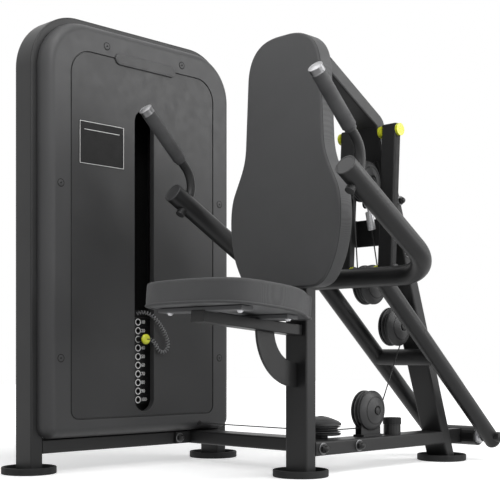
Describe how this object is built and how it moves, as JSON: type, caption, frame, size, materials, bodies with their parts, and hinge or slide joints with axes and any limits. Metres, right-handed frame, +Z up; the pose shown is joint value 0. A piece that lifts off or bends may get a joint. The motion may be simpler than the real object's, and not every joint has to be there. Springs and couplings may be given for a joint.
{
  "type": "triceps extension machine",
  "caption": "Seated triceps press with shrouded weight tower, curved press arm with grips, cable and pulleys, seat and back pad.",
  "frame": {"origin": "centre of the seat post foot's underside, on the floor", "axes": "+Z up, -Y the way the user faces, -X towards the weight tower"},
  "size_m": [1.0378, 1.3925, 1.318],
  "materials": {
    "frame_paint": "satin",
    "shroud_plastic": "matte",
    "panel_plastic": "satin",
    "upholstery": "matte",
    "rubber": "matte",
    "black_plastic": "satin",
    "plate_iron": "satin",
    "bright_steel": "brushed",
    "yellow_plastic": "gloss",
    "cable_sheath": "satin"
  },
  "bodies": {
    "frame": {"tower_frame": "frame_paint", "tower_head": "frame_paint", "front_shroud": "shroud_plastic", "rear_shroud": "shroud_plastic", "front_panel": "panel_plastic", "stack_base": "rubber", "guide_rod_front": "bright_steel", "guide_rod_rear": "bright_steel", "resting_plates": "plate_iron", "mast": "frame_paint", "centre_beam": "frame_paint", "tower_link_bar": "frame_paint", "bumper_pad": "rubber", "seat_post": "frame_paint", "seat_beam": "frame_paint", "seat_gusset": "frame_paint", "seat_pad": "upholstery", "back_pad": "upholstery", "foot_seat_post": "rubber", "foot_mast": "rubber", "foot_tower_front": "rubber", "foot_tower_rear": "rubber", "pivot_housing": "frame_paint", "bracket_base": "frame_paint", "bracket_mast": "frame_paint", "bracket_upper": "frame_paint", "bracket_corner": "frame_paint", "rail_cage": "frame_paint", "cage_bolt_top": "yellow_plastic", "cage_bolt_left": "yellow_plastic", "cage_bolt_right": "yellow_plastic", "cable_frame_run": "cable_sheath", "cable_press_run": "cable_sheath"},
    "press_arm": {"press_bar": "frame_paint", "press_strut_left": "frame_paint", "press_strut_right": "frame_paint", "press_cross_tube": "frame_paint", "pivot_shaft": "bright_steel", "handle_left": "frame_paint", "handle_right": "frame_paint", "grip_left": "rubber", "grip_right": "rubber", "bracket_press": "frame_paint"},
    "press_pulley": {"pulley_press": "black_plastic"},
    "stack": {"top_plate": "plate_iron", "carried_plates": "plate_iron", "cable_stack_run": "cable_sheath", "pin_tether": "cable_sheath"},
    "selector_pin": {"selector_pin": "yellow_plastic"},
    "end_fitting": {"cable_end_fitting": "bright_steel"},
    "base_pulley": {"pulley_base": "black_plastic"},
    "mast_pulley": {"pulley_mast": "black_plastic"},
    "upper_pulley": {"pulley_upper": "black_plastic"},
    "corner_pulley": {"pulley_corner": "black_plastic"},
    "tower_base_pulley": {"pulley_tower_base": "black_plastic"},
    "tower_rear_pulley": {"pulley_tower_rear": "black_plastic"},
    "tower_front_pulley": {"pulley_tower_front": "black_plastic"}
  },
  "joints": [
    {"name": "press_arm_swing", "type": "hinge", "parent": "frame", "child": "press_arm", "pos_m": [0, 0.79, 0.075], "axis": [1, 0, 0], "range_deg": [0, 25], "deforming": ["cable_press_run"]},
    {"name": "stack_lift", "type": "slide", "parent": "frame", "child": "stack", "axis": [0, 0, 1], "range_m": [0, 0.5145], "deforming": ["cable_stack_run"]},
    {"name": "selector_pin_pull", "type": "slide", "parent": "stack", "child": "selector_pin", "axis": [1, 0, 0], "range_m": [0, 0.062], "deforming": ["pin_tether"]},
    {"name": "press_pulley_spin", "type": "hinge", "parent": "press_arm", "child": "press_pulley", "pos_m": [0, 0.305, 0.546], "axis": [1, 0, 0], "range_deg": [0, 265]},
    {"name": "base_pulley_spin", "type": "hinge", "parent": "frame", "child": "base_pulley", "pos_m": [0, 0.299, 0.173], "axis": [1, 0, 0], "range_deg": [0, 579]},
    {"name": "mast_pulley_spin", "type": "hinge", "parent": "frame", "child": "mast_pulley", "pos_m": [0, 0.428, 0.424], "axis": [1, 0, 0], "range_deg": [0, 579]},
    {"name": "upper_pulley_spin", "type": "hinge", "parent": "frame", "child": "upper_pulley", "pos_m": [0, 0.278, 0.85], "axis": [1, 0, 0], "range_deg": [0, 579]},
    {"name": "corner_pulley_spin", "type": "hinge", "parent": "frame", "child": "corner_pulley", "pos_m": [-0.051, 0.1447, 0.122], "axis": [0, 0, 1], "range_deg": [0, 579]},
    {"name": "tower_base_pulley_spin", "type": "hinge", "parent": "frame", "child": "tower_base_pulley", "pos_m": [-0.567, 0.0937, 0.158], "axis": [0, 1, 0], "range_deg": [-819, 0]},
    {"name": "tower_rear_pulley_spin", "type": "hinge", "parent": "frame", "child": "tower_rear_pulley", "pos_m": [-0.603, 0.0537, 1.205], "axis": [1, 0, 0], "range_deg": [-738, 0]},
    {"name": "tower_front_pulley_spin", "type": "hinge", "parent": "frame", "child": "tower_front_pulley", "pos_m": [-0.603, -0.0855, 1.205], "axis": [1, 0, 0], "range_deg": [-738, 0]},
    {"name": "end_fitting_swing", "type": "hinge", "parent": "frame", "child": "end_fitting", "pos_m": [0, 0.299, 0.786], "axis": [1, 0, 0], "range_deg": [-26, 0]}
  ],
  "couplings": [
    {"joint": "stack_lift", "follows": "press_arm_swing", "m_per_rad": 1.1778},
    {"joint": "press_pulley_spin", "follows": "press_arm_swing", "ratio": 10.547},
    {"joint": "base_pulley_spin", "follows": "press_arm_swing", "ratio": 23.094},
    {"joint": "mast_pulley_spin", "follows": "press_arm_swing", "ratio": 23.094},
    {"joint": "upper_pulley_spin", "follows": "press_arm_swing", "ratio": 23.094},
    {"joint": "corner_pulley_spin", "follows": "press_arm_swing", "ratio": 23.094},
    {"joint": "tower_base_pulley_spin", "follows": "press_arm_swing", "ratio": -32.716},
    {"joint": "tower_rear_pulley_spin", "follows": "press_arm_swing", "ratio": -29.444},
    {"joint": "tower_front_pulley_spin", "follows": "press_arm_swing", "ratio": -29.444},
    {"joint": "end_fitting_swing", "follows": "press_arm_swing", "ratio": -0.99}
  ]
}
